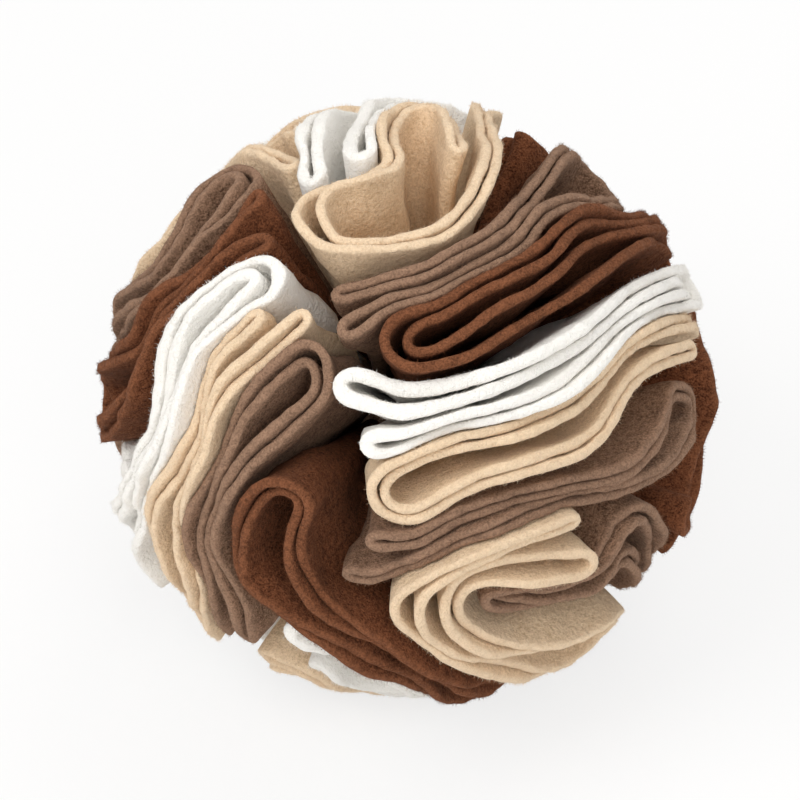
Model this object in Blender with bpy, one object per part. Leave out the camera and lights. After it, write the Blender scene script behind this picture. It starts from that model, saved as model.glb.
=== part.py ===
"""A snuffle ball: fleece discs folded in quarters, sewn by their tips round a small stuffed core.

A disc folded in quarters fans out from its tip in four layers, so its cut edge runs out and back
twice in one closed loop. Every loop here follows a hand-drawn route over the ball, and a folded disc
is the wall that the loop sweeps from the core out to the ball's surface.
"""
import math

import bmesh
import bpy
import numpy as np
from mathutils import Vector

# Driving sizes, in metres
BALL_RADIUS = 0.0900
FLEECE = 0.0030
LAYER_ROOM = 0.0004
CORE_RADIUS = 0.0240
COVER = 0.0012
SEAT = 0.0003
FLAT_DEPTH = 0.0045

# Cut edges: how far they stand out along one loop, and the least and most that a loop measures
RIM_WAVE_SHARE = 0.02
RIM_WAVES = 7
WAVE_SHIFT_SHARE = 0.38
LOOP_LEAST_SHARE = 0.94
LOOP_MOST_SHARE = 1.08

# Spacing of the loops: points along them, rounds of easing and the shares moved in each round
POINT_STEP_SHARE = 0.75
ROUNDS = 200
PAIRS_EVERY = 12
LENGTH_SHARE = 0.5
SMOOTH_SHARE = 0.25
PUSH_SHARE = 1.2
HOLD_SHARE = 0.08
HOLD_FROM_SHARE = 0.1
HOLD_OVER_SHARE = 0.4
REACH_SHARE = 1.9
SKIP_SHARE = 1.6
RIM_POINTS = 1110
LEAST_RIM_POINTS = 24

# Points on a curve between two rows of a table, on a whole route, round its end and along a far arm
CURVE_STEPS = 24
ROUTE_POINTS = 400
TURN_POINTS = 9
ARM_POINTS = 17
PAIR_ROWS = 1024

# The far side's folds: half the spread of the two arms, half the slit in each, and their sway
ARM_SPREAD_DEGREES = 3.4
SLIT_DEGREES = 1.2
SWAY_DEGREES = 1.4
SWAYS = 3
TIP_SHARE = 0.6

# Facets of the core, the merging of its poles and the angle of a sharp edge
CORE_SIDES = 20
CORE_RINGS = 10
MERGE = 0.00001
SHARP_DEGREES = 40

# From the ball's middle down to the floor that flattens it
FLOOR_DEPTH = BALL_RADIUS - FLAT_DEPTH

# The picture that the seen routes were drawn over: the ball's middle, radius and the camera's height
VIEW_MIDDLE_PIXELS = (405, 399)
VIEW_RADIUS_PIXELS = 300
VIEW_ELEVATION_DEGREES = 40

COLOURS = {
    "white": (0.92, 0.91, 0.87, 1.0),
    "tan": (0.66, 0.48, 0.31, 1.0),
    "taupe": (0.17, 0.105, 0.078, 1.0),
    "chocolate": (0.13, 0.045, 0.02, 1.0),
    "core": (0.35, 0.28, 0.22, 1.0),
    "stuffing": (0.85, 0.84, 0.80, 1.0),
}
FLEECE_ROUGHNESS = 0.95

# Folded discs in sight: name, colour, how far the cut edge stands out, and its route in pixels of the
# picture as rows of across, down and half the width between the two layers. Past the ball's outline
# the pixels go on round the ball.
SEEN_DISCS = (
    ("tan_top", "tan", 1.00, (
        (458, 152, 6), (451, 132, 5), (444, 117, 4), (424, 110, 4), (402, 113, 4), (388, 128, 5),
        (388, 142, 5), (394, 158, 5), (386, 172, 4), (362, 184, 4), (335, 191, 6), (311, 212, 13),
        (323, 240, 9), (345, 252, 5), (385, 248, 5), (425, 240, 5), (455, 225, 5), (475, 200, 5),
        (487, 172, 5), (490, 148, 4), (486, 128, 4), (482, 108, 4), (490, 90, 5), (506, 72, 5))),
    ("white_top", "white", 0.99, (
        (362, 158, 10), (362, 135, 11), (367, 112, 9), (390, 90, 7), (420, 68, 5), (446, 46, 5),
        (482, 36, 5), (515, 12, 5), (544, 12, 6), (566, -4, 7), (556, -28, 6), (530, -32, 5),
        (505, -20, 5), (470, -6, 5), (436, 18, 5), (405, 42, 5), (370, 62, 6), (338, 92, 8),
        (316, 122, 9), (309, 150, 9), (312, 176, 8))),
    ("taupe_upper_right", "taupe", 0.98, (
        (338, 292, 7), (365, 288, 4), (400, 281, 4), (430, 274, 4), (455, 260, 4), (480, 247, 5),
        (505, 228, 6), (525, 203, 6), (545, 178, 6), (566, 150, 6), (598, 138, 8), (628, 162, 8),
        (630, 192, 5), (600, 202, 4), (568, 205, 4), (540, 215, 4), (522, 235, 4), (500, 256, 4),
        (470, 268, 4), (445, 284, 4), (420, 296, 4), (395, 303, 5), (370, 318, 7), (350, 331, 9))),
    ("chocolate_upper_right", "chocolate", 1.02, (
        (690, 213, 3), (665, 216, 3), (640, 223, 3), (610, 220, 4), (580, 223, 5), (558, 238, 6),
        (537, 260, 8), (505, 276, 9), (470, 292, 9), (440, 312, 7), (412, 322, 8), (394, 343, 10),
        (410, 362, 8), (437, 359, 8), (467, 346, 11), (497, 325, 12), (530, 307, 11), (560, 288, 13),
        (585, 266, 15), (612, 249, 12), (640, 241, 6), (665, 236, 4), (692, 232, 3))),
    ("white_right", "white", 1.02, (
        (352, 386, 12), (375, 393, 12), (400, 401, 11), (430, 398, 9), (470, 388, 8), (515, 372, 7),
        (560, 349, 7), (595, 324, 7), (622, 302, 6), (650, 286, 5), (674, 278, 5), (694, 284, 6),
        (690, 303, 6), (664, 308, 4), (635, 319, 5), (608, 342, 6), (585, 367, 7), (555, 391, 7),
        (520, 406, 7), (480, 417, 7), (440, 429, 8), (400, 442, 10), (374, 442, 9))),
    ("tan_right", "tan", 1.00, (
        (700, 318, 4), (678, 320, 4), (650, 330, 4), (620, 346, 4), (600, 373, 4), (570, 402, 4),
        (535, 420, 4), (500, 432, 4), (460, 438, 4), (430, 448, 4), (400, 462, 5), (379, 480, 6),
        (382, 503, 6), (402, 513, 6), (426, 508, 6), (450, 493, 6), (476, 477, 5), (505, 468, 5),
        (540, 457, 5), (570, 448, 6), (597, 430, 5), (617, 402, 5), (637, 375, 4), (662, 358, 4),
        (688, 350, 4))),
    ("taupe_right", "taupe", 0.98, (
        (374, 536, 7), (397, 537, 5), (425, 533, 4), (455, 520, 4), (490, 509, 4), (525, 500, 4),
        (560, 487, 4), (597, 480, 4), (630, 465, 5), (655, 440, 5), (672, 412, 5), (683, 392, 6),
        (697, 398, 6), (700, 412, 4), (690, 434, 4), (674, 457, 4), (650, 478, 4), (622, 491, 4),
        (597, 496, 4), (567, 501, 4), (535, 508, 4), (500, 521, 4), (465, 534, 4), (430, 552, 4),
        (400, 568, 4), (372, 580, 5), (350, 578, 6))),
    ("tan_bottom", "tan", 1.02, (
        (572, 515, 5), (540, 524, 6), (500, 537, 6), (465, 550, 7), (435, 566, 7), (415, 583, 8),
        (406, 603, 12), (420, 630, 8), (448, 648, 5), (480, 659, 4), (515, 665, 4), (550, 661, 5),
        (585, 649, 5), (608, 633, 5), (615, 617, 6), (603, 616, 4), (570, 632, 4), (530, 641, 4),
        (490, 637, 5), (460, 623, 6), (449, 603, 7), (456, 582, 8), (482, 567, 9), (520, 563, 11),
        (552, 560, 12), (577, 557, 12))),
    ("taupe_lower_right", "taupe", 0.98, (
        (760, 640, 5), (720, 615, 5), (685, 590, 5), (665, 565, 5), (660, 535, 6), (644, 514, 7),
        (625, 525, 6), (610, 548, 5), (590, 570, 5), (560, 585, 4), (520, 589, 5), (488, 598, 7),
        (520, 606, 5), (560, 602, 4), (592, 592, 4), (611, 572, 5), (626, 557, 6), (639, 568, 6),
        (640, 590, 5), (660, 612, 5), (695, 640, 5), (735, 665, 5))),
    ("chocolate_right", "chocolate", 1.02, (
        (678, 515, 7), (698, 492, 5), (712, 458, 5), (730, 420, 5), (730, 380, 5), (744, 335, 5),
        (732, 290, 5), (736, 250, 5), (720, 220, 6), (736, 204, 6), (764, 238, 5), (758, 285, 5),
        (772, 335, 5), (758, 385, 5), (758, 430, 5), (742, 475, 5), (722, 520, 5), (695, 550, 6))),
    ("white_left", "white", 1.02, (
        (122, 585, 4), (122, 550, 4), (128, 520, 4), (137, 490, 5), (147, 460, 6), (160, 430, 7),
        (167, 400, 8), (172, 368, 8), (184, 338, 8), (202, 312, 8), (224, 292, 9), (246, 277, 9),
        (266, 272, 10), (275, 286, 10), (255, 305, 9), (228, 326, 8), (207, 350, 8), (193, 380, 7),
        (185, 410, 7), (175, 440, 6), (158, 470, 5), (147, 500, 4), (143, 528, 4), (140, 558, 4),
        (143, 590, 4))),
    ("tan_left", "tan", 1.00, (
        (263, 321, 8), (240, 338, 8), (219, 360, 8), (207, 390, 7), (201, 420, 6), (191, 450, 6),
        (171, 477, 6), (157, 502, 5), (155, 528, 5), (163, 552, 5), (172, 577, 5), (180, 603, 5),
        (188, 630, 6), (205, 640, 6), (205, 615, 4), (200, 590, 4), (193, 568, 4), (184, 548, 4),
        (180, 523, 4), (184, 500, 4), (197, 475, 4), (208, 450, 4), (213, 425, 4), (224, 400, 5),
        (241, 378, 5), (263, 358, 5), (286, 339, 5), (306, 319, 7))),
    ("taupe_left", "taupe", 0.99, (
        (222, 632, 5), (212, 607, 5), (202, 572, 5), (194, 542, 5), (197, 512, 5), (212, 482, 6),
        (230, 447, 7), (245, 414, 7), (267, 386, 7), (290, 363, 7), (313, 353, 8), (322, 372, 8),
        (317, 397, 6), (292, 420, 4), (266, 444, 4), (243, 471, 4), (222, 501, 4), (211, 530, 5),
        (214, 556, 5), (226, 584, 6), (241, 608, 6), (250, 636, 5))),
    ("chocolate_left", "chocolate", 1.01, (
        (540, 702, 4), (505, 694, 4), (470, 684, 4), (430, 668, 4), (392, 648, 4), (355, 625, 4),
        (325, 600, 4), (306, 572, 4), (298, 545, 4), (303, 518, 4), (310, 500, 5), (298, 485, 5),
        (276, 483, 5), (258, 496, 5), (245, 520, 5), (240, 550, 5), (250, 579, 5), (276, 599, 5),
        (306, 616, 5), (337, 637, 5), (370, 660, 5), (410, 680, 5), (455, 697, 4), (500, 710, 4))),
    ("white_bottom", "white", 0.97, (
        (300, 636, 12), (332, 655, 12), (368, 677, 8), (408, 697, 6), (450, 716, 5), (492, 729, 5),
        (532, 733, 5), (568, 716, 5), (600, 712, 5), (625, 692, 6), (644, 704, 6), (628, 730, 6),
        (588, 736, 5), (550, 758, 5), (500, 754, 5), (440, 746, 5), (392, 724, 5), (350, 704, 5),
        (318, 682, 6))),
    ("tan_bottom_left", "tan", 0.99, (
        (272, 668, 6), (298, 690, 5), (325, 714, 5), (355, 738, 5), (395, 750, 5), (440, 776, 5),
        (495, 774, 5), (545, 790, 5), (585, 764, 5), (618, 752, 6), (628, 776, 6), (590, 798, 5),
        (550, 820, 5), (495, 804, 5), (440, 808, 5), (385, 778, 5), (340, 762, 5), (300, 726, 5),
        (275, 706, 6))),
    ("chocolate_far_left", "chocolate", 1.02, (
        (262, 207, 9), (243, 232, 6), (222, 258, 5), (197, 284, 5), (170, 297, 5), (157, 318, 5),
        (147, 343, 5), (124, 358, 6), (98, 370, 6), (72, 382, 7), (56, 405, 7), (66, 428, 7),
        (90, 434, 7), (115, 423, 6), (134, 400, 5), (146, 373, 4), (156, 345, 4), (169, 322, 4),
        (190, 307, 4), (215, 287, 4), (240, 266, 5), (270, 250, 8))),
    ("taupe_far_left", "taupe", 1.00, (
        (-10, 372, 6), (25, 362, 5), (62, 352, 5), (95, 338, 5), (127, 318, 6), (150, 303, 5),
        (170, 280, 5), (192, 250, 5), (216, 221, 5), (240, 196, 6), (250, 178, 7), (228, 178, 6),
        (200, 206, 6), (176, 238, 6), (153, 266, 6), (130, 285, 6), (102, 298, 5), (70, 310, 5),
        (35, 316, 5), (0, 318, 5), (-30, 322, 6))),
    ("tan_far_top", "tan", 0.98, (
        (290, 158, 8), (266, 150, 6), (240, 152, 5), (214, 162, 5), (188, 178, 5), (165, 198, 5),
        (142, 220, 5), (120, 243, 5), (96, 258, 5), (66, 254, 5), (40, 262, 5), (16, 246, 7),
        (18, 220, 6), (40, 222, 5), (66, 212, 5), (92, 214, 5), (118, 190, 5), (145, 165, 5),
        (178, 142, 5), (210, 125, 5), (242, 115, 5), (272, 112, 5), (298, 122, 6))),
    ("white_far_left", "white", 0.98, (
        (126, 478, 7), (104, 500, 5), (86, 545, 5), (100, 595, 5), (108, 645, 5), (150, 690, 5),
        (188, 724, 6), (190, 748, 6), (156, 744, 5), (122, 702, 5), (80, 665, 5), (74, 605, 5),
        (54, 550, 5), (74, 500, 5), (104, 463, 6))),
)

# Folded discs on the far side: name, colour, how far the cut edge stands out, and the middle line
# between its arms, in degrees right and up from the far side's middle, as seen from there.
FAR_DISCS = (
    ("white_back_upper", "white", 1.00, ((-9, 53), (-26, 46), (-43, 30), (-57, 9))),
    ("tan_back_upper", "tan", 0.99, ((-5, 37), (-22, 29), (-41, 11), (-61, -11))),
    ("taupe_back_middle", "taupe", 1.01, ((-5, 18), (-22, 9), (-39, -10), (-59, -30))),
    ("chocolate_back_lower", "chocolate", 1.00, ((-5, -1), (-20, -9), (-34, -23), (-43, -38))),
    ("white_back_lower", "white", 0.98, ((-3, -21), (-14, -24), (-23, -34), (-26, -46), (-18, -53))),
    ("chocolate_back_edge", "chocolate", 1.00, ((-30, 65), (-43, 51), (-55, 34), (-68, 8))),
    ("tan_back_low", "tan", 1.00, ((3, -34), (24, -31), (42, -17), (60, 4))),
    ("taupe_back_low", "taupe", 0.98, ((5, -16), (24, -12), (40, 3), (54, 20))),
    ("chocolate_back_high", "chocolate", 1.02, ((5, 1), (22, 7), (38, 23), (49, 46))),
    ("white_back_high", "white", 1.00, ((7, 18), (22, 28), (33, 43), (37, 64))),
    ("taupe_base", "taupe", 1.00, ((-5, -54), (10, -54), (27, -49), (44, -38), (58, -22), (71, -6))),
    ("tan_back_top", "tan", 0.99, ((2, 37), (12, 42), (16, 52), (8, 60), (3, 69), (13, 76), (30, 76))),
)

ELEVATION = math.radians(VIEW_ELEVATION_DEGREES)
VIEW_RIGHT = np.array((1.0, 0.0, 0.0))
VIEW_UP = np.array((0.0, math.sin(ELEVATION), math.cos(ELEVATION)))
VIEW_TOWARDS = np.array((0.0, -math.cos(ELEVATION), math.sin(ELEVATION)))


def unit(vectors):
    """The vectors at length one."""
    return vectors / np.linalg.norm(vectors, axis=-1, keepdims=True)


def in_view(across, up, towards):
    """Directions given by how far they point to the picture's right, to its top and at its camera."""
    return np.outer(across, VIEW_RIGHT) + np.outer(up, VIEW_UP) + np.outer(towards, VIEW_TOWARDS)


def from_picture(pixels):
    """Directions from the ball's middle of points drawn over the picture."""
    middle = np.array(VIEW_MIDDLE_PIXELS, float)
    across = (pixels[:, 0] - middle[0]) / VIEW_RADIUS_PIXELS
    up = (middle[1] - pixels[:, 1]) / VIEW_RADIUS_PIXELS
    reach = np.hypot(across, up)
    round_the_edge = math.pi / 2 + reach - 1
    angle = np.where(reach < 1, np.arcsin(np.minimum(reach, 1)), round_the_edge)
    share = np.sin(angle) / reach
    return in_view(across * share, up * share, np.cos(angle))


def from_far_side(degrees):
    """Directions of points given in degrees right and up from the middle of the far side."""
    across, up = np.radians(np.array(degrees, float)).T
    angle = np.hypot(across, up)
    share = np.sin(angle) / angle
    return in_view(-across * share, up * share, -np.cos(angle))


def smooth_line(points, count):
    """Evenly spaced rows on a smooth curve through the rows given, which hold a place and may hold more."""
    points = np.array(points, float)
    ends = np.vstack((2 * points[0] - points[1], points, 2 * points[-1] - points[-2]))
    share = np.linspace(0, 1, CURVE_STEPS, endpoint=False)[:, None]
    rows = []
    for a, b, c, d in zip(ends, ends[1:], ends[2:], ends[3:]):
        curve = 2 * b + (c - a) * share
        curve += (2 * a - 5 * b + 4 * c - d) * share ** 2
        curve += (3 * b - a - 3 * c + d) * share ** 3
        rows.append(curve / 2)
    rows = np.vstack(rows + [points[-1:]])
    run = np.concatenate(((0,), np.cumsum(np.linalg.norm(np.diff(rows[:, :3], axis=0), axis=1))))
    at = np.linspace(0, run[-1], count)
    return np.column_stack([np.interp(at, run, column) for column in rows.T])


def loop_lengths(loop):
    """The length of each segment of a closed loop."""
    return np.linalg.norm(np.roll(loop, -1, axis=0) - loop, axis=1)


def loop_round(route, half_gaps, step):
    """The closed loop that runs out along one side of a route and back along the other."""
    line = smooth_line(np.column_stack((route, half_gaps)), ROUTE_POINTS)
    place = unit(line[:, :3])
    gap = line[:, 3:]
    ahead = unit(np.gradient(place, axis=0))
    side = np.cross(place, ahead)
    turn = np.linspace(0, math.pi, TURN_POINTS)[1:-1, None]
    far_end = place[-1] + gap[-1] * (np.cos(turn) * side[-1] + np.sin(turn) * ahead[-1])
    near_end = place[0] - gap[0] * (np.cos(turn) * side[0] + np.sin(turn) * ahead[0])
    loop = unit(np.vstack((place + side * gap, far_end, (place - side * gap)[::-1], near_end)))
    run = np.concatenate(((0,), np.cumsum(loop_lengths(loop))))
    at = np.linspace(0, run[-1], round(run[-1] / step), endpoint=False)
    closed = np.vstack((loop, loop[:1]))
    return unit(np.column_stack([np.interp(at, run, column) for column in closed.T]))


def horseshoe(middle_line):
    """The route of a disc on the far side: out along one arm, round its bend and back along the other."""
    spread = math.radians(ARM_SPREAD_DEGREES)
    place = unit(smooth_line(middle_line, ARM_POINTS))
    share = np.linspace(0, 1, len(place))
    sway = math.radians(SWAY_DEGREES) * np.sin(2 * math.pi * SWAYS * share) * np.sin(math.pi * share)
    place = unit(place + np.cross(place, unit(np.gradient(place, axis=0))) * sway[:, None])
    side = np.cross(place, unit(np.gradient(place, axis=0))) * spread
    tip = place[-1] + unit(place[-1] - place[-2]) * spread * TIP_SHARE
    return unit(np.vstack((place + side, tip, (place - side)[::-1])))


class Loops:
    """All the cut edges as one row of points, and who follows whom along them."""

    def __init__(self, loops):
        self.sizes = [len(loop) for loop in loops]
        self.place = np.vstack(loops)
        self.owner = np.repeat(np.arange(len(loops)), self.sizes)
        self.order = np.concatenate([np.arange(size) for size in self.sizes])
        self.count = np.repeat(self.sizes, self.sizes)
        first = np.repeat(np.cumsum([0] + self.sizes[:-1]), self.sizes)
        self.after = first + (self.order + 1) % self.count
        self.before = first + (self.order - 1) % self.count

    def near_pairs(self, reach, skip):
        """Pairs of points closer than reach, without those less than skip apart along one loop."""
        small = self.place.astype(np.float32)
        found = []
        for start in range(0, len(small), PAIR_ROWS):
            one, other = np.nonzero(small[start:start + PAIR_ROWS] @ small.T > math.cos(reach))
            one = one + start
            apart = np.abs(self.order[one] - self.order[other])
            apart = np.minimum(apart, self.count[one] - apart)
            keep = (self.owner[one] != self.owner[other]) | (apart > skip)
            found.append(np.column_stack((one[keep], other[keep])))
        return np.vstack(found).T

    def offsets(self, one, other):
        """From the segment after each other point to the one point: the offset and the share along it."""
        start = self.place[other]
        along = self.place[self.after[other]] - start
        share = np.sum((self.place[one] - start) * along, axis=1) / np.sum(along * along, axis=1)
        share = np.clip(share, 0, 1)[:, None]
        return self.place[one] - start - along * share, share

    def split(self):
        """The loops as a list again."""
        return np.split(self.place, np.cumsum(self.sizes)[:-1])


def add_up(index, vectors, size):
    """The sum of the vectors that share an index."""
    return np.column_stack([np.bincount(index, column, size) for column in vectors.T])


def ease_apart(loops, rests, holds, step, clear):
    """Spreads the loops over the ball until every strand has the room that its fleece needs."""
    all_loops = Loops(loops)
    drawn = all_loops.place.copy()
    rest = np.repeat(rests, all_loops.sizes)
    hold = np.concatenate(holds)[:, None]
    size = len(drawn)
    after, before = all_loops.after, all_loops.before
    for turn in range(ROUNDS):
        if turn % PAIRS_EVERY == 0:
            one, other = all_loops.near_pairs(clear * REACH_SHARE, math.ceil(clear * SKIP_SHARE / step))
        place = all_loops.place
        ahead = place[after] - place
        length = np.linalg.norm(ahead, axis=1)
        pull = ahead * ((length - rest) / length / 2)[:, None]
        bend = (place[after] + place[before]) / 2 - place
        move = LENGTH_SHARE * (pull - pull[before]) + hold * (drawn - place)
        move += SMOOTH_SHARE * (bend - (bend[after] + bend[before]) / 2)
        offset, share = all_loops.offsets(one, other)
        distance = np.linalg.norm(offset, axis=1)
        close = distance < clear
        a, b, share = one[close], other[close], share[close]
        push = offset[close] * ((clear - distance[close]) / distance[close] / 2)[:, None]
        total = add_up(a, push, size)
        total -= add_up(b, push * (1 - share), size)
        total -= add_up(after[b], push * share, size)
        hits = sum(np.bincount(index, minlength=size) for index in (a, b, after[b]))
        all_loops.place = unit(place + move + PUSH_SHARE * total / np.maximum(hits, 1)[:, None])
    return all_loops.split()


def lay_out_discs():
    """The cut edge of every disc as a dense loop of directions, in the order of the two tables."""
    clear = (FLEECE + LAYER_ROOM) / BALL_RADIUS
    step = clear * POINT_STEP_SHARE
    loops, rests, holds = [], [], []
    for name, colour, stand, route in SEEN_DISCS:
        rows = np.array(route, float)
        loops.append(loop_round(from_picture(rows), rows[:, 2] / VIEW_RADIUS_PIXELS, step))
    for name, colour, stand, middle_line in FAR_DISCS:
        route = horseshoe(from_far_side(middle_line))
        loops.append(loop_round(route, np.full(len(route), math.radians(SLIT_DEGREES)), step))
    least, most = 2 * math.pi * LOOP_LEAST_SHARE, 2 * math.pi * LOOP_MOST_SHARE
    for loop in loops:
        rests.append(np.clip(loop_lengths(loop).sum(), least, most) / len(loop))
        in_sight = (loop @ VIEW_TOWARDS - HOLD_FROM_SHARE) / HOLD_OVER_SHARE
        holds.append(HOLD_SHARE * np.clip(in_sight, 0, 1))
    return ease_apart(loops, rests, holds, step, clear)


def point_worth(loop):
    """How much each point matters to a loop's shape: how far the loop moves when it is dropped."""
    size = len(loop)
    after = [(i + 1) % size for i in range(size)]
    before = [(i - 1) % size for i in range(size)]

    def corner(i):
        ahead, behind = loop[after[i]] - loop[i], loop[before[i]] - loop[i]
        return np.linalg.norm(np.cross(ahead, behind)) / np.linalg.norm(ahead - behind)

    corners = np.array([corner(i) for i in range(size)])
    worth = np.full(size, np.inf)
    reached = 0.0
    for dropped in range(size - LEAST_RIM_POINTS):
        drop = int(np.argmin(corners))
        reached = max(reached, corners[drop])
        worth[drop] = reached
        corners[drop] = np.inf
        a, b = after[drop], before[drop]
        after[b], before[a] = a, b
        corners[a], corners[b] = corner(a), corner(b)
    return worth


def thin_out(loops, total):
    """The loops with only the points that their shapes need most, a given number in all."""
    worths = [point_worth(loop) for loop in loops]
    least = np.sort(np.concatenate(worths))[-total]
    return [loop[worth >= least] for loop, worth in zip(loops, worths)]


def half_thickness(loops):
    """Half the fleece's angle at each point, less where two strands press each other thinner."""
    rows = Loops(loops)
    start, end = rows.place, rows.place[rows.after]
    across = unit(np.cross(start, end))
    beside = (start @ np.cross(across, start).T > 0) & (start @ np.cross(end, across).T > 0)
    to_points = np.sqrt(np.maximum(2 - 2 * start @ start.T, 0))
    to_ends = np.minimum(to_points, to_points[:, rows.after])
    distance = np.where(beside, np.abs(start @ across.T), to_ends)
    points = np.arange(len(start))
    distance[points, points] = np.inf
    distance[points, rows.before] = np.inf
    of_segment = distance.min(axis=0)
    nearest = np.minimum(distance.min(axis=1), np.minimum(of_segment, of_segment[rows.before]))
    half = np.minimum(FLEECE, nearest * BALL_RADIUS - LAYER_ROOM) / 2 / BALL_RADIUS
    print("least fleece, as a share of its thickness: %.2f" % (half.min() * 2 * BALL_RADIUS / FLEECE))
    return np.split(half, np.cumsum(rows.sizes)[:-1])


def rim_radius(direction, stand, turns):
    """How far out a cut edge stands in a direction: it ripples, and the floor stops it underneath."""
    radius = BALL_RADIUS * stand * (1 + RIM_WAVE_SHARE * math.sin(2 * math.pi * turns))
    if direction.z < 0:
        radius = min(radius, FLOOR_DEPTH / -direction.z)
    return radius


def folded_disc(name, loop, half, stand, number):
    """The wall that a loop sweeps from the core to the ball's surface, as thick as half says."""
    ahead = unit(np.roll(loop, -1, axis=0) - loop)
    along = unit(ahead + np.roll(ahead, 1, axis=0))
    side = np.cross(loop, along) * half[:, None]
    span = loop_lengths(loop)
    longer = np.maximum(span, np.roll(span, 1))
    root = (CORE_RADIUS + SEAT) / np.cos(longer / 2)
    turns = RIM_WAVES * np.cumsum(span) / span.sum() + WAVE_SHIFT_SHARE * number
    mesh = bmesh.new()
    rim = mesh.verts.layers.float.new("rim")
    pairs = []
    for i in range(len(loop)):
        pair = []
        for edge in (loop[i] + side[i], loop[i] - side[i]):
            vertex = mesh.verts.new(edge * root[i])
            vertex[rim] = rim_radius(Vector(edge), stand, turns[i]) / root[i]
            pair.append(vertex)
        pairs.append(pair)
    band = []
    for here, there in zip(pairs, pairs[1:] + pairs[:1]):
        band.append(mesh.faces.new((here[0], there[0], there[1], here[1])))
    grown = bmesh.ops.extrude_face_region(mesh, geom=band)
    for vertex in grown["geom"]:
        if isinstance(vertex, bmesh.types.BMVert):
            vertex.co *= vertex[rim]
    return finish(name, mesh)


def ball_arc(radius, first, last, count):
    """Points of a half circle in the XZ plane, as radius and height, between two angles from the top."""
    angles = np.linspace(first, last, count)
    return [(radius * math.sin(angle), radius * math.cos(angle)) for angle in angles]


def turned(name, profile):
    """A round piece turned about Z from a profile that starts and ends on the axis."""
    mesh = bmesh.new()
    row = [mesh.verts.new((radius, 0, height)) for radius, height in profile]
    edges = [mesh.edges.new(pair) for pair in zip(row, row[1:])]
    bmesh.ops.spin(
        mesh, geom=row + edges, axis=(0, 0, 1), cent=(0, 0, 0), angle=2 * math.pi, steps=CORE_SIDES)
    bmesh.ops.remove_doubles(mesh, verts=mesh.verts, dist=MERGE)
    return finish(name, mesh)


def half_cover(name):
    """One of the two rounds of cloth sewn over the stuffing: a bowl that stops short of the seam."""
    inner = CORE_RADIUS - COVER
    outer_stop = math.acos(SEAT / 2 / CORE_RADIUS)
    inner_stop = math.acos(SEAT / 2 / inner)
    rows = CORE_RINGS // 2 + 1
    return turned(name, ball_arc(CORE_RADIUS, 0, outer_stop, rows) + ball_arc(inner, inner_stop, 0, rows))


def finish(name, mesh):
    """The finished object of a mesh, with its faces pointing out."""
    bmesh.ops.recalc_face_normals(mesh, faces=mesh.faces)
    data = bpy.data.meshes.new(name)
    mesh.to_mesh(data)
    mesh.free()
    data.shade_smooth()
    data.set_sharp_from_angle(angle=math.radians(SHARP_DEGREES))
    piece = bpy.data.objects.new(name, data)
    bpy.context.collection.objects.link(piece)
    return piece


def paint(piece, colour):
    """Gives a piece its own matt cloth material."""
    material = bpy.data.materials.new(piece.name)
    material.use_nodes = True
    cloth = material.node_tree.nodes["Principled BSDF"]
    cloth.inputs["Base Color"].default_value = COLOURS[colour]
    cloth.inputs["Roughness"].default_value = FLEECE_ROUGHNESS
    cloth.inputs["Metallic"].default_value = 0.0
    piece.data.materials.append(material)


def build_core():
    """The stuffed core that the tips are sewn to: its filling and the two halves of its cover."""
    stuffing_radius = CORE_RADIUS - COVER - SEAT
    stuffing = turned("core_stuffing", ball_arc(stuffing_radius, 0, math.pi, CORE_RINGS + 1))
    upper = half_cover("core_cover_upper")
    lower = half_cover("core_cover_lower")
    lower.rotation_euler.x = math.pi
    paint(stuffing, "stuffing")
    paint(upper, "core")
    paint(lower, "core")
    return [stuffing, upper, lower]


def build_discs():
    """Every folded disc, laid out together so that no two share a place."""
    thin = thin_out(lay_out_discs(), RIM_POINTS)
    pieces = []
    for number, (loop, half) in enumerate(zip(thin, half_thickness(thin))):
        name, colour, stand = (SEEN_DISCS + FAR_DISCS)[number][:3]
        piece = folded_disc("disc_" + name, loop, half, stand, number)
        paint(piece, colour)
        pieces.append(piece)
    return pieces


def stand_on_floor(pieces):
    """Hangs every piece on one empty at the ball's middle, over the middle of the ball's outline."""
    corners = np.array([vertex.co for piece in pieces for vertex in piece.data.vertices])
    middle = (corners.min(axis=0) + corners.max(axis=0)) / 2
    ball = bpy.data.objects.new("ball_middle", None)
    bpy.context.collection.objects.link(ball)
    ball.location = (-middle[0], -middle[1], FLOOR_DEPTH)
    for piece in pieces:
        piece.parent = ball


def main():
    for old in list(bpy.data.objects):
        bpy.data.objects.remove(old)
    stand_on_floor(build_core() + build_discs())


main()
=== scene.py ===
"""The looks of a snuffle ball: fleece discs folded in quarters round a small stuffed core.

The cut edges follow the same routes as the solids, at a finer step, and each folded disc is a soft
wall of fleece between the core and its cut edge.
"""
import math

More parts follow.
